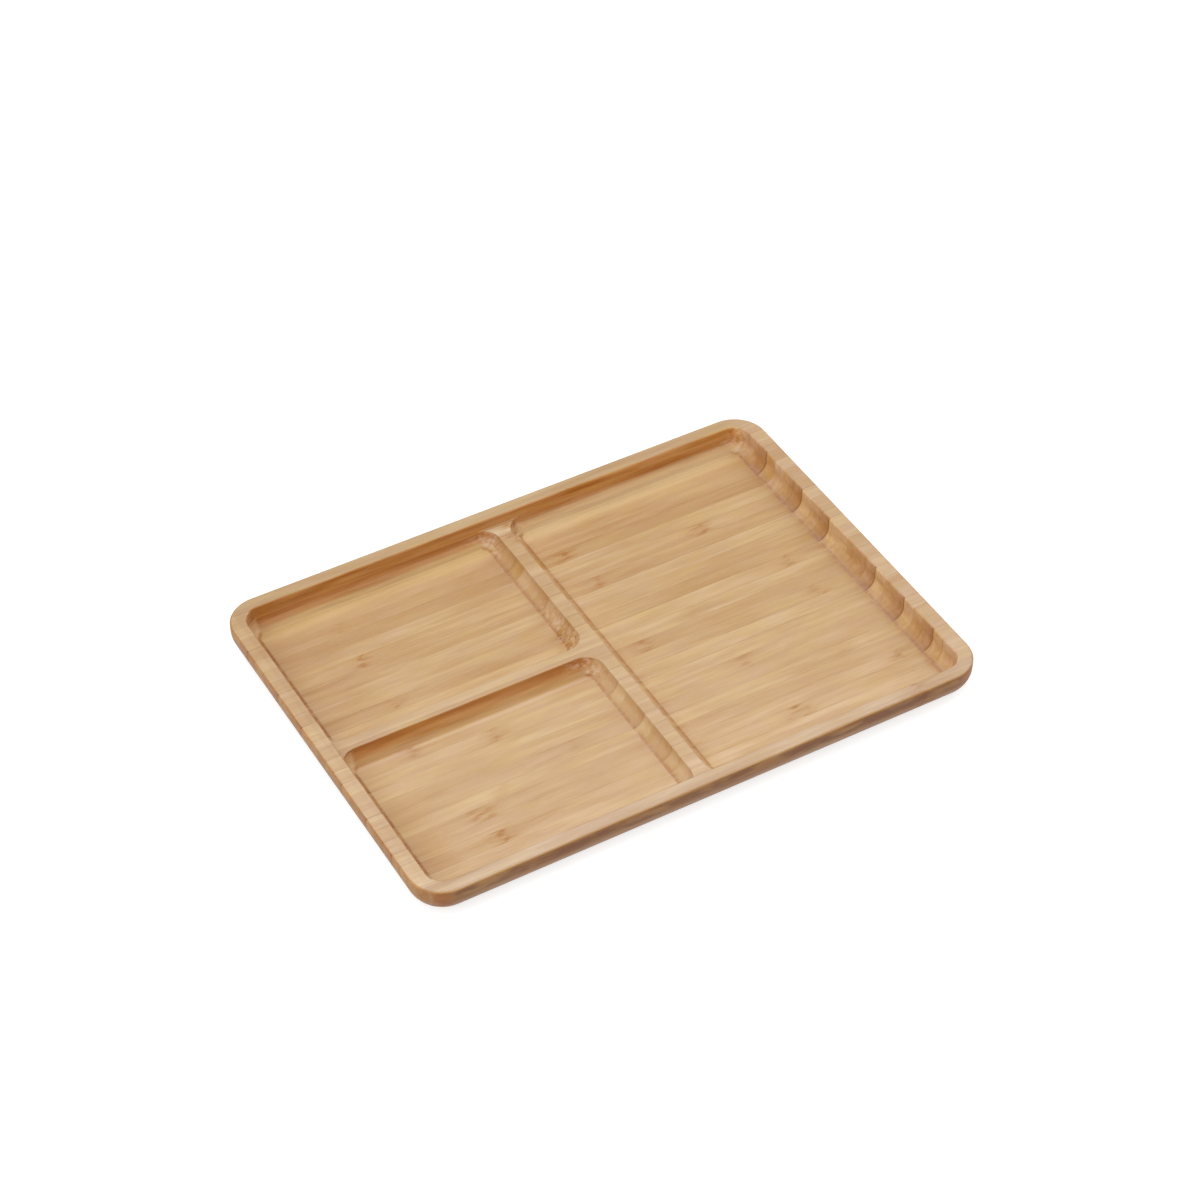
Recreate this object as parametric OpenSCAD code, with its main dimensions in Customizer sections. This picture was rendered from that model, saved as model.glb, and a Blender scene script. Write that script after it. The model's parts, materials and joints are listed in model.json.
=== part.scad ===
// Divided compartment plate: bamboo laths glued face to face, then milled into three compartments.
// Millimetres. Length runs along X, width along Y, the resting plane is z = 0.

/* [Plate] */
// length of the plate, left to right
plate_length = 275; // [220:1:400]
// width of the plate, front to back
plate_width = 200; // [160:1:300]
// height of the plate, resting plane to rim
plate_height = 16; // [14:0.5:24]
// radius of the outer corners, seen from above
corner_radius = 16; // [14:0.5:30]
// height of the upright band below the rim
band_height = 3.8; // [2:0.1:6]

/* [Rim] */
// width of the rim along both short ends
end_rim = 7.75; // [6:0.05:14]
// width of the rim along both long sides
side_rim = 6.9; // [6:0.05:14]
// radius that eases both edges of the rim
rim_ease = 1; // [0.4:0.1:1.5]

/* [Compartments] */
// depth of the compartments, rim to floor
pocket_depth = 12; // [9:0.1:13]
// radius of the compartment corners, seen from above
pocket_corner = 8.4; // [6:0.1:14]
// radius of the cove between wall and floor
cove_radius = 6.5; // [3:0.1:8]
// angle between the foot of the cove and the floor
cove_foot_angle = 8; // [5:1:25]

/* [Dividers] */
// width of both dividers along their tops
divider_width = 6.8; // [4:0.1:12]
// drop from the rim to the divider tops
divider_drop = 5.25; // [2:0.05:6.5]
// radius that eases the top edges of both dividers
divider_ease = 0.6; // [0.2:0.1:1]
// place of the long divider, right of the middle
long_divider_place = -0.5; // [-40:0.1:40]
// place of the short divider, behind the middle
short_divider_place = 1.1; // [-30:0.1:30]

/* [Laths] */
// number of glued laths across the width
strip_count = 26; // [20:1:40]

/* [Hidden] */
$fn = 96;
// how far a cut runs past the surface it opens
cut_overrun = 1;
// least radius kept between a corner axis and a rounded foot
corner_core = 1;
// share of an ease by which its arc passes the face it meets
ease_rise_share = 0.1;
// share of the cove's radius by which its arc passes the wall it meets
cove_rise_share = 0.002;
// distance kept between a divider's eased edge and the rim's walls
ease_clearance = 0.6;
quarter_turn = 90;
lath_tones = ["#d9b27c", "#cfa46c", "#dfbb88", "#c99a62"];

half_length = plate_length / 2;
half_width = plate_width / 2;
under_radius = min(plate_height - band_height, corner_radius - corner_core);
floor_level = plate_height - pocket_depth;
divider_level = plate_height - divider_drop;
cove = min(cove_radius, pocket_corner - corner_core,
           (divider_level - floor_level) / cos(cove_foot_angle));
cove_level = floor_level + cove * cos(cove_foot_angle);
strip_width = plate_width / strip_count;

inner_right = half_length - end_rim;
inner_left = -inner_right;
inner_back = half_width - side_rim;
inner_front = -inner_back;
long_left = long_divider_place - divider_width / 2;
long_right = long_divider_place + divider_width / 2;
short_front = short_divider_place - divider_width / 2;
short_back = short_divider_place + divider_width / 2;
lip_right = inner_right - divider_ease - ease_clearance;
lip_left = inner_left + divider_ease + ease_clearance;
lip_back = inner_back - divider_ease - ease_clearance;
lip_front = inner_front + divider_ease + ease_clearance;

function two_digits(number) = number < 10 ? str("0", number) : str(number);
function strip_name(number) =
    number == 1 ? "front_rim_strip" :
    number == strip_count ? "back_rim_strip" : str("strip_", two_digits(number));
function strip_front(number) = -half_width + (number - 1) * strip_width;

// quarter of a disc to the right of its centre, above it or below it
module quarter_disc(radius, above) {
    intersection() {
        circle(r = radius);
        translate([0, above ? 0 : -radius]) square(radius);
    }
}

// half section of the outside, from a corner axis outwards: round foot, eased head
module outside_section() {
    translate([0, under_radius])
        square([corner_radius, plate_height - under_radius - rim_ease]);
    square([corner_radius - under_radius, under_radius]);
    translate([corner_radius - under_radius, under_radius]) quarter_disc(under_radius, false);
    translate([0, plate_height - rim_ease]) square([corner_radius - rim_ease, rim_ease]);
    translate([corner_radius - rim_ease, plate_height - rim_ease]) quarter_disc(rim_ease, true);
}

// half section of the recess above the dividers, which flares over the rim's eased inner edge
module recess_section() {
    ease_level = plate_height - rim_ease * (1 - ease_rise_share);
    translate([0, divider_level]) square([pocket_corner, ease_level - divider_level]);
    difference() {
        translate([0, ease_level])
            square([pocket_corner + rim_ease, plate_height + cut_overrun - ease_level]);
        translate([pocket_corner + rim_ease, ease_level]) circle(r = rim_ease);
    }
}

// half section of a compartment below the divider tops, with the cove at its foot
module pocket_section() {
    top = divider_level + cut_overrun;
    intersection() {
        translate([0, floor_level]) square([pocket_corner, top - floor_level]);
        union() {
            square([pocket_corner - cove, top + cut_overrun]);
            translate([0, cove_level]) square([pocket_corner, top]);
            translate([pocket_corner - cove * (1 - cove_rise_share), cove_level]) circle(r = cove);
        }
    }
}

// half section that eases the edge between a compartment and a divider top
module lip_section() {
    ease_middle = divider_ease * (1 - ease_rise_share);
    difference() {
        translate([0, divider_level - ease_middle])
            square([pocket_corner + ease_middle, ease_middle + cut_overrun]);
        translate([pocket_corner + ease_middle, divider_level - ease_middle]) circle(r = divider_ease);
    }
}

// sweeps a half section round a rectangle with rounded corners, as far as it reaches the span given
module sweep_round(left, right, front, back, corner, low, high, span) {
    length = right - left - 2 * corner;
    width = back - front - 2 * corner;
    translate([(left + right) / 2, (front + back) / 2, 0]) {
        if (span[1] > front + corner && span[0] < back - corner)
            rotate([quarter_turn, 0, 0])
                linear_extrude(height = width, center = true) {
                    translate([-length / 2, low]) square([length, high - low]);
                    translate([length / 2, 0]) children();
                    mirror([1, 0]) translate([length / 2, 0]) children();
                }
        for (end = [0, 1])
            if (end == 0 ? span[1] > back - corner : span[0] < front + corner)
                mirror([0, end, 0]) translate([0, width / 2, 0]) {
                    rotate([quarter_turn, 0, quarter_turn])
                        linear_extrude(height = length, center = true) children();
                    translate([length / 2, 0, 0])
                        rotate_extrude(angle = quarter_turn) children();
                    translate([-length / 2, 0, 0]) rotate(quarter_turn)
                        rotate_extrude(angle = quarter_turn) children();
                }
    }
}

// outside of the plate: eased rim, upright band and the round that runs under to the flat base
module outside(span) {
    sweep_round(-half_length, half_length, -half_width, half_width, corner_radius, 0, plate_height, span)
        outside_section();
}

// the wide recess above the dividers
module recess(span) {
    sweep_round(inner_left, inner_right, inner_front, inner_back, pocket_corner,
                divider_level, plate_height + cut_overrun, span)
        recess_section();
}

// one compartment below the divider tops
module pocket(left, right, front, back, span) {
    if (span[1] > front && span[0] < back)
        sweep_round(left, right, front, back, pocket_corner, floor_level, divider_level + cut_overrun, span)
            pocket_section();
}

// eases a compartment's edges along the dividers
module lip(left, right, front, back, span) {
    if (span[1] > front - divider_ease && span[0] < back + divider_ease)
        sweep_round(left, right, front, back, pocket_corner, divider_level - divider_ease,
                    divider_level + cut_overrun, span)
            lip_section();
}

// one lath of the milled plate
module strip(number) {
    span = [strip_front(number), strip_front(number + 1)];
    color(lath_tones[number % len(lath_tones)])
        difference() {
            intersection() {
                outside(span);
                translate([-half_length - cut_overrun, span[0], -cut_overrun])
                    cube([plate_length + 2 * cut_overrun, strip_width, plate_height + 2 * cut_overrun]);
            }
            recess(span);
            pocket(inner_left, long_left, short_back, inner_back, span);
            pocket(inner_left, long_left, inner_front, short_front, span);
            pocket(long_right, inner_right, inner_front, inner_back, span);
            lip(lip_left, long_left, short_back, lip_back, span);
            lip(lip_left, long_left, lip_front, short_front, span);
            lip(long_right, lip_right, lip_front, lip_back, span);
        }
}

for (number = [1:strip_count])
    strip(number);
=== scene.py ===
"""Dresses the divided compartment plate in milled bamboo and sets it on a pale studio floor."""

import json
import math
import random
from collections import namedtuple

import bmesh
import bpy
from mathutils import Matrix, Vector


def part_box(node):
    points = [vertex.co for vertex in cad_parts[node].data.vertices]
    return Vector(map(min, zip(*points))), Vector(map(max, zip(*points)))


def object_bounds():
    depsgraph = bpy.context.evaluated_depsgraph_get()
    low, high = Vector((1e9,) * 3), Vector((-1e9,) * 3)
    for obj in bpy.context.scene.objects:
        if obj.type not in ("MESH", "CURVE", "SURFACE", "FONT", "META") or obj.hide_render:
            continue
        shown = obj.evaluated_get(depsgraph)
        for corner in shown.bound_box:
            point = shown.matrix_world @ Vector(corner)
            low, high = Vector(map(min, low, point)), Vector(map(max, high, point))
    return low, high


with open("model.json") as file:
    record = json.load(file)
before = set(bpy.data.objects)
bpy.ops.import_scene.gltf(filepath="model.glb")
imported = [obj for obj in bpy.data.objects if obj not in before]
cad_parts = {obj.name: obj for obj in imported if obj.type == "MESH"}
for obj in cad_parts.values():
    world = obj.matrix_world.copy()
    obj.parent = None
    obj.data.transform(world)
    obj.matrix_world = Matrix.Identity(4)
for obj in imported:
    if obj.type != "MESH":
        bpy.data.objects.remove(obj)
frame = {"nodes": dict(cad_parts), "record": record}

bl_info = {
    "name": "Divided compartment plate",
    "version": (1, 0, 0),
    "blender": (4, 5, 0),
    "location": "3D View > Sidebar > Plate",
    "description": "Gives each bamboo lath of the plate its finish and sets up the studio",
    "category": "Object",
}

# The frame
CAD_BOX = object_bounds()
LATHS = sorted(frame["nodes"].values(), key=lambda lath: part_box(lath.name)[0].y)
TONE_OF = {row["node"]: row["material_slot"] for row in frame["record"]["subparts"]}
RIM_LATHS = (LATHS[0], LATHS[-1])
FLOOR_LATHS = LATHS[1:-1]
MM_PER_M = 1000.0
OPAQUE = (1.0,)
WHITE = (1.0, 1.0, 1.0)
HALF = 0.5
HALF_LENGTH = CAD_BOX[1].x * MM_PER_M
HALF_WIDTH = CAD_BOX[1].y * MM_PER_M

# Growth knots of each lath, counted from the front: millimetres along the lath, then how dark
FAR_AWAY = 9999.0
NO_KNOT = ((FAR_AWAY, FAR_AWAY), 0.0)
KNOTS = {
    1: ((104, FAR_AWAY), 0.7),
    2: ((-40, 103), 0.5),
    4: ((58, -88), 0.9),
    5: ((115, FAR_AWAY), 0.7),
    6: ((-90, FAR_AWAY), 1.0),
    7: ((95, -75), 0.4),
    8: ((-36, FAR_AWAY), 0.25),
    9: ((55, FAR_AWAY), 0.5),
    11: ((-63, FAR_AWAY), 0.7),
    12: ((107, -98), 0.6),
    13: ((21, FAR_AWAY), 0.9),
    14: ((50, FAR_AWAY), 0.3),
    15: ((105, -8), 0.7),
    16: ((-9, -91), 0.6),
    18: ((-8, FAR_AWAY), 0.5),
    19: ((24, FAR_AWAY), 0.7),
    20: ((82, -92), 1.0),
    22: ((19, FAR_AWAY), 1.0),
    23: ((-25, -92), 0.4),
    24: ((1, FAR_AWAY), 0.9),
    25: ((5, FAR_AWAY), 1.0),
}
# Seams that show dark on end grain, named by the lath in front of them.
# The end grain behind each of them is darkest beside it.
DARK_SEAMS = (0, 4, 7, 10, 15, 18, 22, 26)
DARK_SEAM = 1.0
PLAIN_SEAM = (0.35, 0.8)
SEAM_DRAW = 100
# Small differences between laths of one tone, and where each one's pattern starts
LIGHTER = (0.985, 1.015)
BLUER = (0.95, 1.05)
SEED = (0.0, 9.0)
SEED_STEP = 31.7
# Places where the cutter tore the grain: millimetres along and across the plate, reach, strength
TORN_PLACES = (
    (-7.0, 10.0, 12.0, 1.0),
    (-7.0, 30.0, 12.0, 0.6),
    (-8.0, 87.0, 9.0, 0.9),
    (8.0, 88.0, 7.0, 0.8),
    (-9.0, -7.0, 8.0, 0.9),
    (125.0, 88.0, 8.0, 0.9),
    (-125.0, 88.0, 5.0, 0.5),
    (-125.0, -7.0, 4.0, 0.5),
)

# Noise patterns: how often they turn in a millimetre along and across the grain, detail and roughness
Pattern = namedtuple("Pattern", "along across detail rough")
WAVE = Pattern(0.01, 0.06, 2.0, 0.5)
STREAK = Pattern(0.022, 0.40, 4.0, 0.6)
FINE = Pattern(0.04, 2.6, 2.0, 0.6)
MOTTLE = Pattern(0.03, 0.17, 2.0, 0.5)
DRIFT = Pattern(0.012, 0.16, 2.0, 0.5)
HUE = Pattern(0.06, 0.16, 3.0, 0.6)
KNOT_WOBBLE = Pattern(0.05, 0.4, 2.0, 0.5)
KNOT_BLOT = Pattern(0.13, 0.5, 3.0, 0.55)
KNOT_BEND = Pattern(0.1, 0.25, 2.0, 0.5)
SEAM_BREAK = Pattern(0.06, 0.2, 3.0, 0.5)
END_BLUR = Pattern(0.3, 0.5, 2.0, 0.5)
TORN = Pattern(0.3, 0.5, 4.0, 0.6)
TOOTH = Pattern(0.05, 0.4, 3.0, 0.6)

# Smooth steps climb from 0 at their first value to 1 at their second.
# How far a surface is turned towards the ends, the sides or the sky
TURNED_END = (0.06, 0.42)
TURNED_SIDE = (0.45, 0.97)
SLOPING_SIDE = (0.15, 0.6)
UPRIGHT_END = (0.35, 0.85)
LOW_END_TURN = (0.08, 0.3)
COVE_END_TURN = (0.1, 0.4)
FOOT_TURN = (0.05, 0.12)
CORNER_RIGHT_TURN = (0.04, 0.28)
CORNER_FRONT_TURN = (0.0, -0.15)
FACING_UP = (0.7, 0.95)
LYING_FLAT = (0.95, 0.985)
# Millimetres in from the outside, between which a rim's outer look turns into the inner one
OUTER_LOOK = 3.5
INNER_LOOK = 5.5
# Millimetres along the plate
INSIDE_ALONG = (HALF_LENGTH - OUTER_LOOK, HALF_LENGTH - INNER_LOOK)
FAR_OUT = (20.0, 110.0)
RIGHT_OF_DIVIDER = (-4.0, 4.0)
LEFT_CORNER = (-118.0, -122.5)
SHORT_WALL = (-8.0, -11.0)
LEFT_FLOOR = (-88.0, -118.0)
RIGHT_RIM = (124.0, 130.0)
DULL_LEFT = (-104.0, -122.0)
DULL_BY_DIVIDER = ((15.0, 6.0), (0.0, 5.0))
# Millimetres across the plate
INSIDE_ACROSS = (HALF_WIDTH - OUTER_LOOK, HALF_WIDTH - INNER_LOOK)
FRONT_HALF = (2.0, -4.0)
BACK_HALF = (-10.0, 10.0)
FRONT_COVE = (4.0, -8.0)
NEAR_BACK_WALL = (79.0, 86.0)
DIVIDER_END = ((84.5, 87.5), (92.2, 91.2))
FRONT_RIM = (-88.0, -94.0)
BACK_RIM = (90.0, 94.0)
# Millimetres above the resting plane
ON_FLOOR = (4.25, 4.03)
ABOVE_FLOOR = (4.0, 4.2)
BELOW_DIVIDERS = (9.8, 9.4)
LOW_DOWN = (9.0, 7.0)
COVE_FOOT = (5.2, 4.4)
LEFT_COVE_HEAD = (5.1, 5.9)
LEFT_COVE_FOOT = (5.6, 4.9)
BACK_COVE = (8.8, 6.6)
END_HEAD = (8.0, 15.0)
END_FOOT = (7.0, 5.0)
WALL_HEAD = (9.5, 12.5)
TORN_TOP = (10.6, 10.0)
TOPS = (9.8, 10.5)
DIVIDER_TOP = (11.6, 11.0)
RIM_TOP = (14.0, 15.5)
# Values of a noise
BLOT_STEP = (0.36, 0.68)
DRIFT_STEP = (0.45, 0.75)
BREAK_STEP = (0.34, 0.6)
TOOTH_STEP = (0.35, 0.65)
TORN_PALE_STEP = (0.50, 0.62)
TORN_DARK_STEP = (0.46, 0.34)
# Distances to the nearest point of the cells, and to a glue line in widths of it
SPECK_STEP = (0.34, 0.10)
BUNDLE_STEP = (0.42, 0.10)
SEAM_STEP = (1.0, 0.0)

# Sizes and places of single marks in millimetres
KNOT_SWAY = 4.0
KNOT_REACH = 6.5
KNOT_LINE = 1.6
FIBRE_WAVE = 1.0
FIBRE_BEND = 3.0
SHADE_BAND_HEIGHT = 8.6
SHADE_BAND_REACH = 1.8
SHORT_LINE_PLACE = -9.2
SHORT_LINE_REACH = 0.9
FOOT_HEIGHT = 4.15
FOOT_REACH = 0.35
BUMP_DEPTH = 0.1

# Scattered cells: how often they come along the grain for one across it, and how many lie in a
# millimetre across it
SPECK_ALONG = 0.35
SPECK_CELLS = 0.9
BUNDLE_ALONG = 0.007
BUNDLE_CELLS = 1.15

# How strongly each mark shows
BLOT_SHARE = 0.75
KNOT_HAZE = 0.12
LINE_SHARE = 0.4
SPECK_SHARE = 0.2
KNOT_SHARE = 0.8
STREAK_SWING = 0.55
FINE_SWING = 0.26
MOTTLE_SWING = 0.45
DENSE_SHARE = 0.2
DENSE_START = 0.5
DENSE_BY_SHADE = 0.45
FIBRE_START = 0.27
FRONT_LEFT_CALM = 0.3
SLOPE_STREAK = 1.0
SLOPE_FINE = 0.35
DIVIDER_END_CALM = 0.55
DIVIDER_END_FIBRE = 0.17
DRIFT_SHARE = 0.3
HUE_SWING = 0.5
DIVIDER_HUE_CALM = 0.5
SEAM_SHARE = 0.9
END_SEAM_POWER = 3.0
DIVIDER_SEAM_LOSS = 0.6
FLOOR_SEAM_LOSS = 0.45
LEFT_SEAM_LOSS = 0.2
RIM_SEAM_LOSS = 0.3
BLUR_SWING = 0.2
END_SHADE_POWER = 2
MIDDLE_SHADE = 0.35
OUTSIDE_SHADE = 0.5
LEFT_FOOT_SHARE = 0.15
LEFT_CORNER_SHARE = 0.5
SHORT_LINE_SHARE = 0.12
BACK_COVE_SHARE = 0.03
BACK_COVE_RIGHT = 0.24
BACK_FLOOR_SHARE = 0.33
BACK_FLOOR_RIGHT = -0.13
PAINTED_SHEEN_SHARE = 0.042
PAINTED_SHEEN_START = 1.15
PAINTED_SHEEN_FIBRE_LOSS = 0.6
PAINTED_SHEEN_KNOT_LOSS = 0.9
PAINTED_SHEEN_SEAM_LOSS = 0.8
TOP_SHEEN_SHARE = 0.09
TOOTH_START = 0.4
TORN_PALE_SHARE = 0.55
TORN_DARK_SHARE = 0.6

# Tints that multiply the bamboo's colour; most of them are painted light or painted shade on one part of
# the plate
BACK_COVE_END_SHEEN = (1.08, 1.16, 1.5)
FRONT_COVE_END_SHEEN = (1.12, 1.24, 1.64)
RIM_END = (1.11, 1.11, 1.26)
SKIN_END = (0.82, 0.66, 0.66)
UPRIGHT_END_PAINTED_LIGHT = (1.14, 1.19, 1.36)
HIGH_END_PAINTED_LIGHT = (1.14, 1.26, 1.58)
LOW_END_PAINTED_SHADE = (0.91, 0.90, 0.86)
UPPER_RIGHT_PAINTED_LIGHT = (1.09, 1.11, 1.14)
INNER_WALL_PAINTED_BOUNCE = (1.12, 0.91, 0.80)
OUTER_WALL_SKIN_AND_SHADE = (0.85, 0.63, 0.39)
OUTER_END_PAINTED_SHADE = (0.92, 0.76, 0.56)
COVE_PAINTED_SHADE = (0.94, 0.88, 0.82)
SHADE_BAND_TINT = (0.89, 0.81, 0.74)
LEFT_COVE_PAINTED_SHADE = (0.89, 0.81, 0.73)
COVE_FOOT_PAINTED_SHADE = (0.95, 0.93, 0.90)
FRONT_LEFT_PAINTED_SHADE = (0.95, 0.92, 0.88)
BACK_LEFT_PAINTED_SHADE = (0.91, 0.87, 0.81)
TOP_SHEEN_TINT = (0.975, 0.978, 1.0)
DIVIDER_END_PAINTED_LIGHT = (1.25, 1.54, 1.9)
RIGHT_RIM_PAINTED_LIGHT = (1.01, 1.03, 1.12)
FRONT_RIM_TINT = (0.93, 0.93, 1.0)
BACK_RIM_TINT = (0.955, 0.98, 0.99)
FOOT_PAINTED_SHADE = (0.80, 0.60, 0.38)
# Pale tones that are mixed into it along the coves and at their feet: painted highlights and painted light
LEFT_FOOT_PAINTED_LIGHT = (0.80, 0.64, 0.26)
LEFT_CORNER_HIGHLIGHT = (0.88, 0.62, 0.34)
SHORT_LINE_HIGHLIGHT = (0.95, 0.82, 0.70)
BACK_COVE_HIGHLIGHT = (0.80, 0.66, 0.40)
BACK_FLOOR_PAINTED_LIGHT = (0.86, 0.66, 0.30)

# What makes the satin rougher, and what stands up or sinks in the relief
FINE_ROUGH = 0.07
END_ROUGH = 0.08
DULL_ROUGH = 0.16
WEATHERED_ROUGH = 0.17
KNOT_ROUGH = 0.2
FIBRE_ROUGH = 0.1
TORN_ROUGH = 0.35
DENSE_RELIEF = 0.5
SEAM_RELIEF = -1.0
TORN_RELIEF = 3.0
BUMP_STRENGTH = 0.18

# Softboxes: place, width and height in metres, and the setting that holds the power
Softbox = namedtuple("Softbox", "name place width height power")
SOFTBOXES = (
    Softbox("key_softbox", (-1.32, -0.84, 1.824), 1.8, 1.8, "key_power"),
    Softbox("strip_softbox", (0.171, 0.805, 1.133), 1.4, 0.15, "strip_power"),
    Softbox("side_softbox", (1.4, 0.1, 1.2), 1.0, 1.0, "side_power"),
    Softbox("top_softbox", (0.0, -0.1, 1.9), 1.2, 1.2, "top_power"),
)
# Metres before the camera that it leaves out
NEAR_CLIP = 0.01

# Sockets of the colour mix, which shares their names with sockets for numbers and vectors
MIX_SHARE = 0
MIX_FIRST = 6
MIX_SECOND = 7
MIX_RESULT = 2


def colour_property(name, description, default):
    """A colour that the panel shows as a swatch."""
    return bpy.props.FloatVectorProperty(
        name=name, description=description, subtype="COLOR", size=3, min=0.0, max=1.0, default=default
    )


def power_property(name, description, default):
    """A lamp's power."""
    return bpy.props.FloatProperty(
        name=name, description=description, unit="POWER", min=0.0, default=default
    )


def angle_property(name, description, degrees):
    """An angle that the panel shows in degrees."""
    return bpy.props.FloatProperty(
        name=name, description=description, subtype="ANGLE", default=math.radians(degrees)
    )


class PlateFinish(bpy.types.PropertyGroup):
    """Colours and sizes of the bamboo."""

    honey: colour_property("Honey", "Ground tone of the honey laths", (0.564, 0.346, 0.128))
    tan: colour_property("Tan", "Ground tone of the tan laths", (0.535, 0.317, 0.107))
    pale: colour_property("Pale", "Ground tone of the pale laths", (0.607, 0.393, 0.161))
    toasted: colour_property("Toasted", "Ground tone of the toasted laths", (0.488, 0.272, 0.079))
    fibre: colour_property("Fibre", "Tone of the dense fibres", (0.36, 0.14, 0.005))
    blush: colour_property("Blush", "Pink tone that drifts through the laths", (0.56, 0.335, 0.14))
    knot: colour_property("Knot", "Tone of the growth knots", (0.34, 0.115, 0.002))
    seam: colour_property("Seam", "Tone of the glue lines", (0.27, 0.105, 0.012))
    torn: colour_property("Torn", "Pale tone of torn grain in the corners", (0.74, 0.56, 0.42))
    seam_width: bpy.props.FloatProperty(
        name="Seam width", description="Width of a glue line's dark edge",
        unit="LENGTH", min=0.0, default=0.0004
    )
    roughness: bpy.props.FloatProperty(
        name="Roughness", description="Satin of the oiled surface",
        subtype="FACTOR", min=0.0, max=1.0, default=0.22
    )


class PlateStage(bpy.types.PropertyGroup):
    """Sizes and levels of the studio."""

    floor_size: bpy.props.FloatProperty(
        name="Floor size", description="Side of the square floor", unit="LENGTH", min=1.0, default=12.0
    )
    floor_drop: bpy.props.FloatProperty(
        name="Floor drop", description="Gap that keeps floor and base apart",
        unit="LENGTH", min=0.0, default=0.0002
    )
    floor_colour: colour_property("Floor", "Colour of the floor", (0.45, 0.45, 0.45))
    floor_glow: bpy.props.FloatProperty(
        name="Floor glow", description="Light that turns the floor white where it is seen",
        min=0.0, default=0.75
    )
    fill: bpy.props.FloatProperty(name="Fill", description="Level of the even light", min=0.0, default=0.26)
    key_power: power_property("Key", "Power of the softbox in front on the left", 31.0)
    strip_power: power_property("Strip", "Power of the strip softbox behind", 4.1)
    side_power: power_property("Side", "Power of the softbox on the right", 9.3)
    top_power: power_property("Top", "Power of the softbox overhead", 5.0)
    lens: bpy.props.FloatProperty(
        name="Lens", description="Focal length in millimetres", min=1.0, default=95.094
    )
    azimuth: angle_property("Azimuth", "Turn of the camera round the plate", -29.296)
    elevation: angle_property("Elevation", "Height of the camera above the horizon", 43.082)
    roll: angle_property("Roll", "Tilt of the camera about its own axis", -0.62)
    distance: bpy.props.FloatProperty(
        name="Distance", description="Camera to its target", unit="LENGTH", min=0.1, default=1.43229
    )
    target: bpy.props.FloatVectorProperty(
        name="Target", description="Point the camera looks at", subtype="XYZ", unit="LENGTH",
        default=(0.021029, 0.036035, -0.000667)
    )


def swatch(colour):
    """Three shares of red, green and blue as a shader colour."""
    return tuple(colour) + OPAQUE


class Wiring:
    """Adds nodes to one shader tree and links them."""

    def __init__(self, tree):
        self.tree = tree

    def add(self, kind, feeds=None, **settings):
        """A node with its settings and what feeds its sockets."""
        node = self.tree.nodes.new(kind)
        for name, value in settings.items():
            setattr(node, name, value)
        for socket, value in (feeds or {}).items():
            self.feed(node.inputs[socket], value)
        return node

    def feed(self, socket, value):
        """Links a socket to another, or sets its value."""
        if isinstance(value, bpy.types.NodeSocket):
            self.tree.links.new(value, socket)
        else:
            socket.default_value = value

    def math(self, operation, *values, clamp=False):
        """One sum on numbers."""
        feeds = dict(enumerate(values))
        return self.add("ShaderNodeMath", feeds, operation=operation, use_clamp=clamp).outputs[0]

    def times(self, *values):
        """Product of several numbers."""
        total = values[0]
        for value in values[1:]:
            total = self.math("MULTIPLY", total, value)
        return total

    def plus(self, *values):
        """Sum of several numbers."""
        total = values[0]
        for value in values[1:]:
            total = self.math("ADD", total, value)
        return total

    def most(self, first, second):
        """The larger of two numbers."""
        return self.math("MAXIMUM", first, second)

    def size(self, value):
        """A number without its sign."""
        return self.math("ABSOLUTE", value)

    def line(self, value, slope, start):
        """A straight line that leaves its start at that slope."""
        return self.math("MULTIPLY_ADD", value, slope, start)

    def rest(self, share):
        """What a share leaves of the whole."""
        return self.math("SUBTRACT", 1.0, share)

    def fade(self, share, loss):
        """A whole that shrinks by that loss as the share grows."""
        return self.line(share, -loss, 1.0)

    def swing(self, value, reach):
        """A share from 0 to 1 turned into a swing of that reach round zero."""
        return self.line(value, 2.0 * reach, -reach)

    def ease(self, value, step):
        """A smooth step from 0 at its first value to 1 at its second."""
        low, high = step
        feeds = {"Value": value, "From Min": low, "From Max": high}
        return self.add("ShaderNodeMapRange", feeds, interpolation_type="SMOOTHSTEP").outputs[0]

    def bell(self, value, width):
        """A bell curve of that width round zero."""
        share = self.math("DIVIDE", value, width)
        return self.math("EXPONENT", self.times(share, share, -1.0))

    def vector(self, x, y, z):
        """Three numbers as a vector."""
        return self.add("ShaderNodeCombineXYZ", {0: x, 1: y, 2: z}).outputs[0]

    def parts(self, vector):
        """The three numbers of a vector."""
        return self.add("ShaderNodeSeparateXYZ", {0: vector}).outputs

    def noise(self, place, shift, pattern):
        """Soft noise from 0 to 1 in a pattern that is stretched along the grain."""
        along, side, height = place
        turns_along = self.plus(self.times(along, pattern.along), shift)
        turns_side = self.times(side, pattern.across)
        turns_height = self.times(height, pattern.across)
        feeds = {"Vector": self.vector(turns_along, turns_side, turns_height), "Scale": 1.0,
                 "Detail": pattern.detail, "Roughness": pattern.rough}
        return self.add("ShaderNodeTexNoise", feeds).outputs[0]

    def cells(self, place, shift, stretch, scale):
        """Distance to the nearest of many scattered points, which are drawn out along the grain."""
        along, side, height = place
        vector = self.vector(self.plus(self.times(along, stretch), shift), side, height)
        return self.add("ShaderNodeTexVoronoi", {"Vector": vector, "Scale": scale}).outputs[0]

    def mix(self, share, first, second, blend="MIX"):
        """Two colours mixed by a share."""
        node = self.add("ShaderNodeMix", data_type="RGBA", blend_type=blend, clamp_factor=True)
        for index, value in ((MIX_SHARE, share), (MIX_FIRST, first), (MIX_SECOND, second)):
            self.feed(node.inputs[index], value)
        return node.outputs[MIX_RESULT]

    def tint(self, colour, share, tint):
        """A colour multiplied by a tint, as far as the share says."""
        return self.mix(share, colour, swatch(tint), blend="MULTIPLY")

    def tone(self, colour, share, tone):
        """A colour mixed with a tone, as far as the share says."""
        return self.mix(share, colour, swatch(tone))


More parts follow.
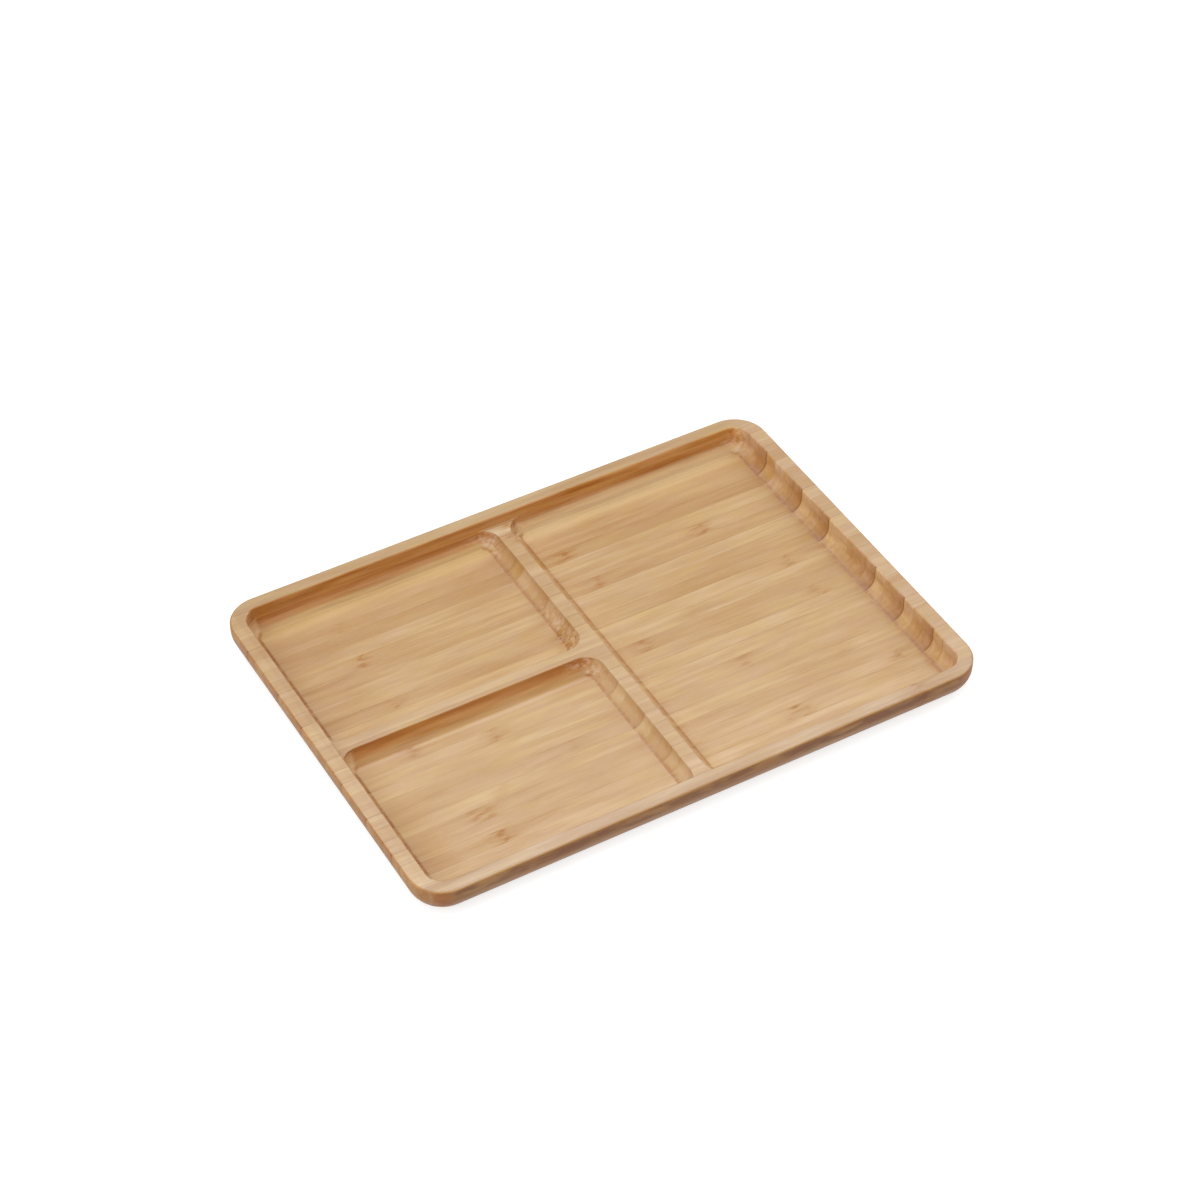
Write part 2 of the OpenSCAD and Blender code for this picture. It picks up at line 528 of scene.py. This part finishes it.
GRAIN_INPUTS = (
    ("Tone", "NodeSocketColor"),
    ("Lath Middle", "NodeSocketFloat"),
    ("Lath Half", "NodeSocketFloat"),
    ("Seed", "NodeSocketFloat"),
    ("Front Shade", "NodeSocketFloat"),
    ("Back Shade", "NodeSocketFloat"),
    ("Front Seam", "NodeSocketFloat"),
    ("Back Seam", "NodeSocketFloat"),
    ("First Knot", "NodeSocketFloat"),
    ("Second Knot", "NodeSocketFloat"),
    ("Knot Strength", "NodeSocketFloat"),
)
GRAIN_OUTPUTS = (
    ("Colour", "NodeSocketColor"),
    ("Roughness", "NodeSocketFloat"),
    ("Normal", "NodeSocketVector"),
)

# What the pattern knows of the point it colours: its place on the plate and in its lath, the way the
# surface faces there, and shares from 0 to 1 for the parts of the plate it belongs to
Point = namedtuple("Point", (
    "place along side height shift offset facing_end facing_side facing_up tilt "
    "end wall inside outside far_out divider_grain right left low raised level"
))
# Where the fibres run, and how strongly each mark of the grain shows at the point
Grain = namedtuple("Grain", "place knot fine dense shade dark")


def read_point(w, given):
    """Place in millimetres, the way the surface faces, and the part of the plate."""
    here = w.add("ShaderNodeTexCoord").outputs["Object"]
    scaled = w.add("ShaderNodeVectorMath", {0: here, "Scale": MM_PER_M}, operation="SCALE").outputs[0]
    along, side, height = w.parts(scaled)
    facing_end, facing_side, facing_up = w.parts(w.add("ShaderNodeNewGeometry").outputs["Normal"])
    tilt = w.size(facing_end)
    end = w.ease(tilt, TURNED_END)
    inside = w.times(w.ease(w.size(along), INSIDE_ALONG), w.ease(w.size(side), INSIDE_ACROSS))
    far_out = w.ease(w.size(along), FAR_OUT)
    right = w.ease(along, RIGHT_OF_DIVIDER)
    return Point(
        place=(along, side, height),
        along=along,
        side=side,
        height=height,
        shift=w.times(given["Seed"], SEED_STEP),
        offset=w.math("SUBTRACT", side, given["Lath Middle"]),
        facing_end=facing_end,
        facing_side=facing_side,
        facing_up=facing_up,
        tilt=tilt,
        end=end,
        wall=w.ease(w.size(facing_side), TURNED_SIDE),
        inside=inside,
        outside=w.rest(inside),
        far_out=far_out,
        divider_grain=w.times(end, w.rest(far_out)),
        right=right,
        left=w.rest(right),
        low=w.times(w.ease(height, LOW_DOWN), w.rest(end)),
        raised=w.times(w.ease(height, ABOVE_FLOOR), w.ease(height, BELOW_DIVIDERS)),
        level=w.ease(facing_up, FACING_UP),
    )


def read_knots(w, given, at):
    """How near a growth knot is, and how dark it is here."""
    wobble = w.swing(w.noise(at.place, at.shift, KNOT_WOBBLE), KNOT_SWAY)
    nears = []
    lines = []
    for name in ("First Knot", "Second Knot"):
        reach = w.plus(w.math("SUBTRACT", at.along, given[name]), wobble)
        nears.append(w.bell(reach, KNOT_REACH))
        lines.append(w.bell(reach, KNOT_LINE))
    near = w.times(w.most(*nears), given["Knot Strength"])
    line = w.times(w.most(*lines), given["Knot Strength"])
    blot = w.ease(w.noise(at.place, at.shift, KNOT_BLOT), BLOT_STEP)
    speck = w.ease(w.cells(at.place, at.shift, SPECK_ALONG, SPECK_CELLS), SPECK_STEP)
    body = w.times(near, w.line(blot, BLOT_SHARE, KNOT_HAZE))
    knot = w.plus(body, w.times(line, blot, LINE_SHARE))
    return near, w.math("ADD", knot, w.times(near, speck, SPECK_SHARE), clamp=True)


def lath_shade(w, given, at):
    """How dark the lath's skin makes it here, from its front seam to its back seam."""
    across = w.math("DIVIDE", at.offset, given["Lath Half"])
    back_share = w.line(across, HALF, HALF)
    step = w.math("SUBTRACT", given["Back Shade"], given["Front Shade"])
    return w.line(back_share, step, given["Front Shade"])


def read_grain(w, given, at):
    """Fibres, which wave a little, bend round the knots and lie denser towards the skin."""
    near, knot = read_knots(w, given, at)
    wave = w.swing(w.noise(at.place, at.shift, WAVE), FIBRE_WAVE)
    bend = w.times(w.swing(w.noise(at.place, at.shift, KNOT_BEND), FIBRE_BEND), near)
    place = (at.along, w.plus(at.side, wave, bend), w.plus(at.height, wave))
    streak = w.noise(place, at.shift, STREAK)
    fine = w.noise(place, at.shift, FINE)
    mottle = w.noise(at.place, at.shift, MOTTLE)
    bundle = w.ease(w.cells(place, at.shift, BUNDLE_ALONG, BUNDLE_CELLS), BUNDLE_STEP)
    shade = lath_shade(w, given, at)
    dense = w.times(bundle, w.line(shade, DENSE_BY_SHADE, DENSE_START))
    front_left = w.times(at.low, at.left, w.ease(at.side, FRONT_HALF))
    streaks = w.times(w.swing(streak, STREAK_SWING), w.fade(front_left, FRONT_LEFT_CALM))
    dark = w.plus(streaks, w.swing(fine, FINE_SWING), w.swing(mottle, MOTTLE_SWING),
                  w.times(dense, DENSE_SHARE), FIBRE_START)
    slope = w.times(w.ease(w.size(at.facing_side), SLOPING_SIDE), at.inside)
    dark = w.plus(dark, w.times(w.plus(w.swing(streak, SLOPE_STREAK), w.swing(fine, SLOPE_FINE)), slope))
    dark = w.times(dark, w.fade(at.divider_grain, DIVIDER_END_CALM))
    dark = w.plus(dark, w.times(at.divider_grain, DIVIDER_END_FIBRE))
    return Grain(place, knot, fine, dense, shade, w.most(dark, 0.0))


def ground_colour(w, given, at, grain, finish):
    """The lath's tone with its fibres, its drifts of colour and its knots."""
    colour = w.tone(given["Tone"], grain.dark, finish.fibre)
    drift = w.ease(w.noise(at.place, at.shift, DRIFT), DRIFT_STEP)
    colour = w.tone(colour, w.times(drift, DRIFT_SHARE), finish.blush)
    hue = w.swing(w.noise(grain.place, at.shift, HUE), HUE_SWING)
    hue = w.plus(w.times(hue, w.fade(at.divider_grain, DIVIDER_HUE_CALM)), 1.0)
    colour = w.mix(1.0, colour, w.vector(1.0, 1.0, hue), blend="MULTIPLY")
    return w.tone(colour, w.times(grain.knot, KNOT_SHARE), finish.knot)


def glue_lines(w, given, at, finish):
    """The seams along both edges of the lath: wider on end grain, broken and faint on the floors."""
    width = finish.seam_width * MM_PER_M
    seam_width = w.line(at.end, width, width)
    front_gap = w.math("DIVIDE", w.plus(at.offset, given["Lath Half"]), seam_width)
    back_gap = w.math("DIVIDE", w.math("SUBTRACT", given["Lath Half"], at.offset), seam_width)
    power = w.line(at.end, END_SEAM_POWER, 1.0)
    front_line = w.times(w.ease(front_gap, SEAM_STEP), w.math("POWER", given["Front Seam"], power))
    back_line = w.times(w.ease(back_gap, SEAM_STEP), w.math("POWER", given["Back Seam"], power))
    breaks = w.ease(w.noise((at.along, 0.0, at.height), at.shift, SEAM_BREAK), BREAK_STEP)
    seam = w.times(w.most(front_line, back_line), w.most(breaks, at.end))
    seam = w.times(seam, w.fade(at.divider_grain, DIVIDER_SEAM_LOSS))
    floor_loss = w.line(at.left, -LEFT_SEAM_LOSS, -FLOOR_SEAM_LOSS)
    seam = w.times(seam, w.line(at.low, floor_loss, 1.0))
    rim_top = w.times(w.ease(at.height, RIM_TOP), w.rest(at.end))
    return w.times(seam, w.fade(rim_top, RIM_SEAM_LOSS))


def tint_end_grain(w, colour, at, shade):
    """End grain darkens towards the skin; painted light pales it upright, painted shade darkens its foot.
    """
    blur = w.swing(w.noise(at.place, at.shift, END_BLUR), BLUR_SWING)
    end_shade = w.times(w.plus(shade, blur), w.line(at.far_out, 1.0 - MIDDLE_SHADE, MIDDLE_SHADE))
    inside_share = w.line(at.inside, 1.0 - OUTSIDE_SHADE, OUTSIDE_SHADE)
    end_shade = w.math("MULTIPLY", end_shade, inside_share, clamp=True)
    # Painted sheen: the end grain of the divider's coves is paler, more so in the front pocket
    cove_end_sheen = w.mix(w.ease(at.side, FRONT_COVE), swatch(BACK_COVE_END_SHEEN), swatch(FRONT_COVE_END_SHEEN))
    pale_end_and_sheen = w.mix(at.far_out, cove_end_sheen, swatch(RIM_END))
    end_tint = w.mix(end_shade, pale_end_and_sheen, swatch(SKIN_END))
    colour = w.mix(at.end, colour, end_tint, blend="MULTIPLY")
    # Painted light: upright end grain inside is painted paler, and the upper part of the end walls paler
    # still
    upright = w.times(w.ease(at.tilt, UPRIGHT_END), at.inside)
    colour = w.tint(colour, upright, UPRIGHT_END_PAINTED_LIGHT)
    colour = w.tint(colour, w.times(upright, at.far_out, w.ease(at.height, END_HEAD)), HIGH_END_PAINTED_LIGHT)
    # Painted shade: the foot of the end-grain walls far out is darker
    low_end_shade = w.times(w.ease(at.tilt, LOW_END_TURN), at.far_out, w.ease(at.height, END_FOOT), at.inside)
    return w.tint(colour, low_end_shade, LOW_END_PAINTED_SHADE)


def tint_walls(w, colour, at):
    """Painted light high on the right, warm painted bounce inside, painted shade and browner skin outside.
    """
    inner_wall = w.times(at.wall, at.inside)
    # Painted light: the inner walls that face front or back are paler high up in the right pocket
    upper_right_light = w.times(inner_wall, at.right, w.ease(at.height, WALL_HEAD))
    colour = w.tint(colour, upper_right_light, UPPER_RIGHT_PAINTED_LIGHT)
    # Painted bounce light: the inner walls that face front or back are warmer and more orange
    colour = w.tint(colour, inner_wall, INNER_WALL_PAINTED_BOUNCE)
    # The outer sides are browner: the laths' darker skin with painted shade over it, and painted shade on
    # the outer end grain
    colour = w.tint(colour, w.times(at.wall, at.outside), OUTER_WALL_SKIN_AND_SHADE)
    return w.tint(colour, w.times(at.end, at.outside), OUTER_END_PAINTED_SHADE)


def tint_coves(w, colour, at):
    """Painted light and shade on the coves of the long walls and left corners, from a dark band to the
    floor.
    """
    side_cove = w.times(at.raised, at.inside, w.rest(w.ease(at.tilt, COVE_END_TURN)), w.rest(at.wall))
    # Painted shade: the coves that face front or back are darker than the floor
    colour = w.tint(colour, side_cove, COVE_PAINTED_SHADE)
    # Painted shade: a darker band along the inner walls that face front or back, 8.6 mm above the resting
    # plane
    shade_band = w.bell(w.plus(at.height, -SHADE_BAND_HEIGHT), SHADE_BAND_REACH)
    colour = w.tint(colour, w.times(shade_band, at.wall, at.inside), SHADE_BAND_TINT)
    near_back = w.times(w.ease(at.side, NEAR_BACK_WALL), at.inside)
    # Painted shade on the upper part of the back coves in the left pockets, and painted light at their foot
    left_cove = w.times(near_back, at.left, at.raised)
    colour = w.tint(colour, w.times(left_cove, w.ease(at.height, LEFT_COVE_HEAD)), LEFT_COVE_PAINTED_SHADE)
    left_foot_light = w.times(left_cove, w.ease(at.height, LEFT_COVE_FOOT), LEFT_FOOT_SHARE)
    colour = w.tone(colour, left_foot_light, LEFT_FOOT_PAINTED_LIGHT)
    # Painted shade at the foot of those coves, where they meet the floor
    colour = w.tint(colour, w.times(side_cove, w.ease(at.height, COVE_FOOT)), COVE_FOOT_PAINTED_SHADE)
    # Painted highlight: a pale sliver on the rounded back corners at the left end of the left pockets
    corner = w.times(w.ease(at.facing_end, CORNER_RIGHT_TURN), w.ease(at.facing_side, CORNER_FRONT_TURN))
    left_corner_highlight = w.times(corner, w.ease(at.along, LEFT_CORNER), at.raised, at.inside, LEFT_CORNER_SHARE)
    colour = w.tone(colour, left_corner_highlight, LEFT_CORNER_HIGHLIGHT)
    on_floor = w.ease(at.height, ON_FLOOR)
    # Painted highlight: a pale line on the floor along the foot of the short wall in the front left pocket
    short_line_highlight = w.bell(w.plus(at.side, -SHORT_LINE_PLACE), SHORT_LINE_REACH)
    short_line_highlight = w.times(short_line_highlight, w.ease(at.along, SHORT_WALL), on_floor, at.inside, SHORT_LINE_SHARE)
    colour = w.tone(colour, short_line_highlight, SHORT_LINE_HIGHLIGHT)
    # Painted highlight on the back coves, mostly in the right pocket, and painted light on the floor along
    # the back walls, mostly in the left pockets
    cove_share = w.times(w.ease(at.height, BACK_COVE), w.line(at.right, BACK_COVE_RIGHT, BACK_COVE_SHARE))
    colour = w.tone(colour, w.times(near_back, cove_share), BACK_COVE_HIGHLIGHT)
    floor_share = w.times(on_floor, w.line(at.right, BACK_FLOOR_RIGHT, BACK_FLOOR_SHARE))
    return w.tone(colour, w.times(near_back, floor_share), BACK_FLOOR_PAINTED_LIGHT)


def tint_floors(w, colour, at, grain, seam):
    """Painted shade on the floors towards the left rim, and a painted white sheen on flat faces."""
    # Painted shade: the floors of the left pockets darken towards the left rim
    left_shade = w.mix(w.ease(at.side, BACK_HALF), swatch(FRONT_LEFT_PAINTED_SHADE), swatch(BACK_LEFT_PAINTED_SHADE))
    left_floor = w.times(w.ease(at.along, LEFT_FLOOR), at.inside)
    colour = w.mix(left_floor, colour, left_shade, blend="MULTIPLY")
    # Painted sheen: flat faces of the floors and tops are mixed towards white, less on knots, dark fibres
    # and seams
    clear = w.times(w.fade(grain.knot, PAINTED_SHEEN_KNOT_LOSS), w.line(grain.dark, -PAINTED_SHEEN_FIBRE_LOSS, PAINTED_SHEEN_START))
    clear = w.times(clear, w.fade(seam, PAINTED_SHEEN_SEAM_LOSS))
    painted_sheen = w.times(w.ease(at.facing_up, LYING_FLAT), w.rest(at.raised), clear, PAINTED_SHEEN_SHARE)
    return w.tone(colour, painted_sheen, WHITE)


def tint_tops(w, colour, at, finish):
    """Painted sheen on rim and divider tops, painted light on two of them, a small shift of tone on each.
    """
    top = w.times(w.ease(at.height, TOPS), at.level)
    # Painted sheen: the tops are mixed towards a pale tone
    colour = w.tone(colour, w.times(top, TOP_SHEEN_SHARE), finish.torn)
    colour = w.tint(colour, top, TOP_SHEEN_TINT)
    # Painted light on the divider's top where it meets the back wall, where shade falls
    front_edge, back_edge = DIVIDER_END
    divider_end = w.times(w.ease(at.side, front_edge), w.ease(at.side, back_edge))
    divider_end = w.times(w.ease(at.height, DIVIDER_TOP), divider_end)
    colour = w.tint(colour, w.times(top, divider_end), DIVIDER_END_PAINTED_LIGHT)
    # Painted light: the right rim's top is paler
    colour = w.tint(colour, w.times(top, w.ease(at.along, RIGHT_RIM)), RIGHT_RIM_PAINTED_LIGHT)
    colour = w.tint(colour, w.times(top, w.ease(at.side, FRONT_RIM)), FRONT_RIM_TINT)
    return w.tint(colour, w.times(top, w.ease(at.side, BACK_RIM)), BACK_RIM_TINT)


def tint_foot(w, colour, at):
    """Painted shade: a thin, toothed dark line at the foot of end-grain walls, where they meet the floor.
    """
    foot = w.times(w.bell(w.plus(at.height, -FOOT_HEIGHT), FOOT_REACH), w.ease(at.tilt, FOOT_TURN))
    tooth = w.ease(w.noise(at.place, 0.0, TOOTH), TOOTH_STEP)
    return w.tint(colour, w.times(foot, at.inside, w.plus(tooth, TOOTH_START)), FOOT_PAINTED_SHADE)


def read_torn(w, at):
    """How far the cutter tore the grain here."""
    spots = []
    for spot_along, spot_side, reach, strength in TORN_PLACES:
        gap_along = w.plus(at.along, -spot_along)
        gap_side = w.plus(at.side, -spot_side)
        gap = w.math("SQRT", w.plus(w.times(gap_along, gap_along), w.times(gap_side, gap_side)))
        spots.append(w.times(w.bell(gap, reach), strength))
    walls = w.math("ADD", at.end, at.wall, clamp=True)
    return w.times(walls, w.plus(*spots), w.ease(at.height, TORN_TOP))


def tint_torn(w, colour, torn, torn_noise, finish):
    """Torn grain is pale where it stands up and dark where it broke out."""
    pale_share = w.times(torn, w.ease(torn_noise, TORN_PALE_STEP), TORN_PALE_SHARE)
    dark_share = w.times(torn, w.ease(torn_noise, TORN_DARK_STEP), TORN_DARK_SHARE)
    colour = w.tone(colour, pale_share, finish.torn)
    return w.tone(colour, dark_share, finish.knot)


def satin(w, at, grain, torn, finish):
    """Roughness of the oiled surface, duller at the left end, beside the divider and outside."""
    right_edge, left_edge = DULL_BY_DIVIDER
    by_divider = w.times(w.ease(at.along, right_edge), w.ease(at.along, left_edge))
    dull = w.most(w.ease(at.along, DULL_LEFT), by_divider)
    dull = w.times(dull, at.inside, w.ease(at.height, LOW_DOWN))
    weathered = w.times(at.outside, w.rest(at.level))
    return w.plus(
        w.swing(grain.fine, FINE_ROUGH),
        w.times(at.end, END_ROUGH),
        w.times(dull, DULL_ROUGH),
        w.times(weathered, WEATHERED_ROUGH),
        w.times(grain.knot, KNOT_ROUGH),
        w.times(grain.dark, FIBRE_ROUGH),
        w.times(torn, TORN_ROUGH),
        finish.roughness,
    )


def surface_relief(w, grain, seam, torn, torn_noise):
    """Fibres that stand up a little, seams that sink and torn grain."""
    height = w.plus(
        grain.fine,
        w.times(grain.dense, DENSE_RELIEF),
        w.times(seam, SEAM_RELIEF),
        w.times(torn, torn_noise, TORN_RELIEF),
    )
    feeds = {"Height": height, "Strength": BUMP_STRENGTH, "Distance": BUMP_DEPTH / MM_PER_M}
    return w.add("ShaderNodeBump", feeds).outputs[0]


def grain_group(finish):
    """The pattern that all laths share: fibres, knots, glue lines, end grain and milled walls."""
    tree = bpy.data.node_groups.new("bamboo_grain", "ShaderNodeTree")
    for name, kind in GRAIN_INPUTS:
        tree.interface.new_socket(name, in_out="INPUT", socket_type=kind)
    for name, kind in GRAIN_OUTPUTS:
        tree.interface.new_socket(name, in_out="OUTPUT", socket_type=kind)
    w = Wiring(tree)
    given = w.add("NodeGroupInput").outputs
    at = read_point(w, given)
    grain = read_grain(w, given, at)
    seam = glue_lines(w, given, at, finish)
    torn = read_torn(w, at)
    torn_noise = w.noise(at.place, at.shift, TORN)

    colour = ground_colour(w, given, at, grain, finish)
    colour = w.tone(colour, w.times(seam, SEAM_SHARE), finish.seam)
    colour = tint_end_grain(w, colour, at, grain.shade)
    colour = tint_walls(w, colour, at)
    colour = tint_coves(w, colour, at)
    colour = tint_floors(w, colour, at, grain, seam)
    colour = tint_tops(w, colour, at, finish)
    colour = tint_foot(w, colour, at)
    colour = tint_torn(w, colour, torn, torn_noise, finish)
    results = {
        "Colour": colour,
        "Roughness": satin(w, at, grain, torn, finish),
        "Normal": surface_relief(w, grain, seam, torn, torn_noise),
    }
    w.add("NodeGroupOutput", results)
    return tree


def end_shades(number):
    """How dark a lath's end grain is at its front and its back, by its place between dark seams."""
    start = max(seam for seam in DARK_SEAMS if seam < number)
    stop = min(seam for seam in DARK_SEAMS if seam >= number)
    front_share = (stop - number + 1) / (stop - start)
    back_share = (stop - number) / (stop - start)
    return front_share ** END_SHADE_POWER, back_share ** END_SHADE_POWER


def seam_strength(seam):
    """How clearly a glue line shows, named by the lath in front of it."""
    if seam in DARK_SEAMS:
        return DARK_SEAM
    return random.Random(SEAM_DRAW + seam).uniform(*PLAIN_SEAM)


def lath_material(lath, number, finish, grain):
    """The finish of one lath: the shared pattern with its own tone, knots and seams."""
    draw = random.Random(number)
    low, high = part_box(lath.name)
    tone = getattr(finish, TONE_OF[lath.name].split("_")[1])
    lighter = draw.uniform(*LIGHTER)
    bluer = draw.uniform(*BLUER)
    knots, strength = KNOTS.get(number, NO_KNOT)
    front_shade, back_shade = end_shades(number)
    material = bpy.data.materials.new(TONE_OF[lath.name] + "_" + lath.name)
    material.use_nodes = True
    w = Wiring(material.node_tree)
    feeds = {
        "Tone": swatch((tone[0] * lighter, tone[1] * lighter, tone[2] * lighter * bluer)),
        "Lath Middle": (low.y + high.y) / 2.0 * MM_PER_M,
        "Lath Half": (high.y - low.y) / 2.0 * MM_PER_M,
        "Seed": draw.uniform(*SEED),
        "Front Shade": front_shade,
        "Back Shade": back_shade,
        "Front Seam": seam_strength(number - 1),
        "Back Seam": seam_strength(number),
        "First Knot": knots[0],
        "Second Knot": knots[1],
        "Knot Strength": strength,
    }
    pattern = w.add("ShaderNodeGroup", node_tree=grain)
    for name, value in feeds.items():
        pattern.inputs[name].default_value = value
    shader = material.node_tree.nodes["Principled BSDF"]
    w.feed(shader.inputs["Base Color"], pattern.outputs["Colour"])
    w.feed(shader.inputs["Roughness"], pattern.outputs["Roughness"])
    w.feed(shader.inputs["Normal"], pattern.outputs["Normal"])
    return material


def dress(laths, finish):
    """Gives each of these laths its own bamboo."""
    grain = bpy.data.node_groups.get("bamboo_grain") or grain_group(finish)
    for lath in laths:
        material = lath_material(lath, LATHS.index(lath) + 1, finish, grain)
        lath.data.materials.clear()
        lath.data.materials.append(material)


class PLATE_OT_rim_strips(bpy.types.Operator):
    """Finish the two outer laths, which make the long rims"""

    bl_idname = "plate.rim_strips"
    bl_label = "Finish rim strips"

    def execute(self, context):
        dress(RIM_LATHS, context.scene.plate_finish)
        return {"FINISHED"}


class PLATE_OT_floor_strips(bpy.types.Operator):
    """Finish the inner laths, which make the floor, the dividers and the short rims"""

    bl_idname = "plate.floor_strips"
    bl_label = "Finish floor strips"

    def execute(self, context):
        dress(FLOOR_LATHS, context.scene.plate_finish)
        return {"FINISHED"}


def seen_directly(w):
    """1 for rays that show a thing in the picture or in a mirror, 0 for those that only light it."""
    path = w.add("ShaderNodeLightPath").outputs
    shown = w.most(path["Is Camera Ray"], path["Is Glossy Ray"])
    return w.most(shown, path["Is Transmission Ray"])


def studio_floor(stage):
    """A pale floor that shows white and keeps the plate's shadow."""
    mesh = bmesh.new()
    bmesh.ops.create_grid(mesh, x_segments=1, y_segments=1, size=stage.floor_size / 2.0)
    bmesh.ops.translate(mesh, verts=mesh.verts, vec=(0.0, 0.0, -stage.floor_drop))
    data = bpy.data.meshes.new("studio_floor")
    mesh.to_mesh(data)
    mesh.free()
    floor = bpy.data.objects.new("studio_floor", data)
    bpy.context.scene.collection.objects.link(floor)
    material = bpy.data.materials.new("pale_floor")
    material.use_nodes = True
    material.node_tree.nodes.clear()
    w = Wiring(material.node_tree)
    matt = w.add("ShaderNodeBsdfDiffuse", {"Color": swatch(stage.floor_colour)}).outputs[0]
    glow = w.add("ShaderNodeEmission", {"Strength": stage.floor_glow}).outputs[0]
    shown = w.add("ShaderNodeAddShader", {0: matt, 1: glow}).outputs[0]
    either = w.add("ShaderNodeMixShader", {0: seen_directly(w), 1: matt, 2: shown}).outputs[0]
    w.add("ShaderNodeOutputMaterial", {"Surface": either})
    data.materials.append(material)


def studio_world(stage):
    """Even light all round, behind a white background."""
    world = bpy.data.worlds.new("studio_world")
    world.use_nodes = True
    world.node_tree.nodes.clear()
    w = Wiring(world.node_tree)
    strength = w.most(seen_directly(w), stage.fill)
    even = w.add("ShaderNodeBackground", {"Color": swatch(WHITE), "Strength": strength}).outputs[0]
    w.add("ShaderNodeOutputWorld", {"Surface": even})
    bpy.context.scene.world = world


def studio_softbox(box, power):
    """A lamp that faces the plate."""
    lamp = bpy.data.lights.new(box.name, "AREA")
    lamp.shape = "RECTANGLE"
    lamp.size = box.width
    lamp.size_y = box.height
    lamp.energy = power
    holder = bpy.data.objects.new(box.name, lamp)
    holder.location = box.place
    holder.rotation_euler = Vector(box.place).to_track_quat("Z", "Y").to_euler()
    bpy.context.scene.collection.objects.link(holder)


def studio_camera(stage):
    """The camera at the photograph's viewing angle."""
    azimuth, elevation, roll = stage.azimuth, stage.elevation, stage.roll
    level = math.cos(elevation)
    back = Vector((math.sin(azimuth) * level, -math.cos(azimuth) * level, math.sin(elevation)))
    right = Vector((math.cos(azimuth), math.sin(azimuth), 0.0))
    up = back.cross(right)
    turned_right = right * math.cos(roll) + up * math.sin(roll)
    turned_up = up * math.cos(roll) - right * math.sin(roll)
    lens = bpy.data.cameras.new("camera")
    lens.lens = stage.lens
    lens.clip_start = NEAR_CLIP
    camera = bpy.data.objects.new("camera", lens)
    turn = Matrix((turned_right, turned_up, back)).transposed().to_4x4()
    camera.matrix_world = Matrix.Translation(Vector(stage.target) + back * stage.distance) @ turn
    bpy.context.scene.collection.objects.link(camera)
    bpy.context.scene.camera = camera


class PLATE_OT_stage(bpy.types.Operator):
    """Set up the floor, the lights and the camera"""

    bl_idname = "plate.stage"
    bl_label = "Set up stage"

    def execute(self, context):
        stage = context.scene.plate_stage
        studio_floor(stage)
        studio_world(stage)
        for box in SOFTBOXES:
            studio_softbox(box, getattr(stage, box.power))
        studio_camera(stage)
        context.scene.view_settings.view_transform = "Standard"
        return {"FINISHED"}


class PLATE_PT_panel(bpy.types.Panel):
    """Lists the plate's steps and settings"""

    bl_idname = "PLATE_PT_panel"
    bl_label = "Divided plate"
    bl_space_type = "VIEW_3D"
    bl_region_type = "UI"
    bl_category = "Plate"

    def draw(self, context):
        for step in STEPS:
            self.layout.operator(step.bl_idname)
        for settings in (context.scene.plate_finish, context.scene.plate_stage):
            for name in settings.__annotations__:
                self.layout.prop(settings, name)


STEPS = (PLATE_OT_rim_strips, PLATE_OT_floor_strips, PLATE_OT_stage)
CLASSES = (PlateFinish, PlateStage, *STEPS, PLATE_PT_panel)


def register():
    """Adds the classes and the scene's settings."""
    for kind in CLASSES:
        bpy.utils.register_class(kind)
    bpy.types.Scene.plate_finish = bpy.props.PointerProperty(type=PlateFinish)
    bpy.types.Scene.plate_stage = bpy.props.PointerProperty(type=PlateStage)


def unregister():
    """Takes away what register added."""
    del bpy.types.Scene.plate_stage
    del bpy.types.Scene.plate_finish
    for kind in reversed(CLASSES):
        bpy.utils.unregister_class(kind)


def main():
    """Runs every step."""
    register()
    bpy.ops.plate.rim_strips()
    bpy.ops.plate.floor_strips()
    bpy.ops.plate.stage()


if __name__ == "__main__":
    main()
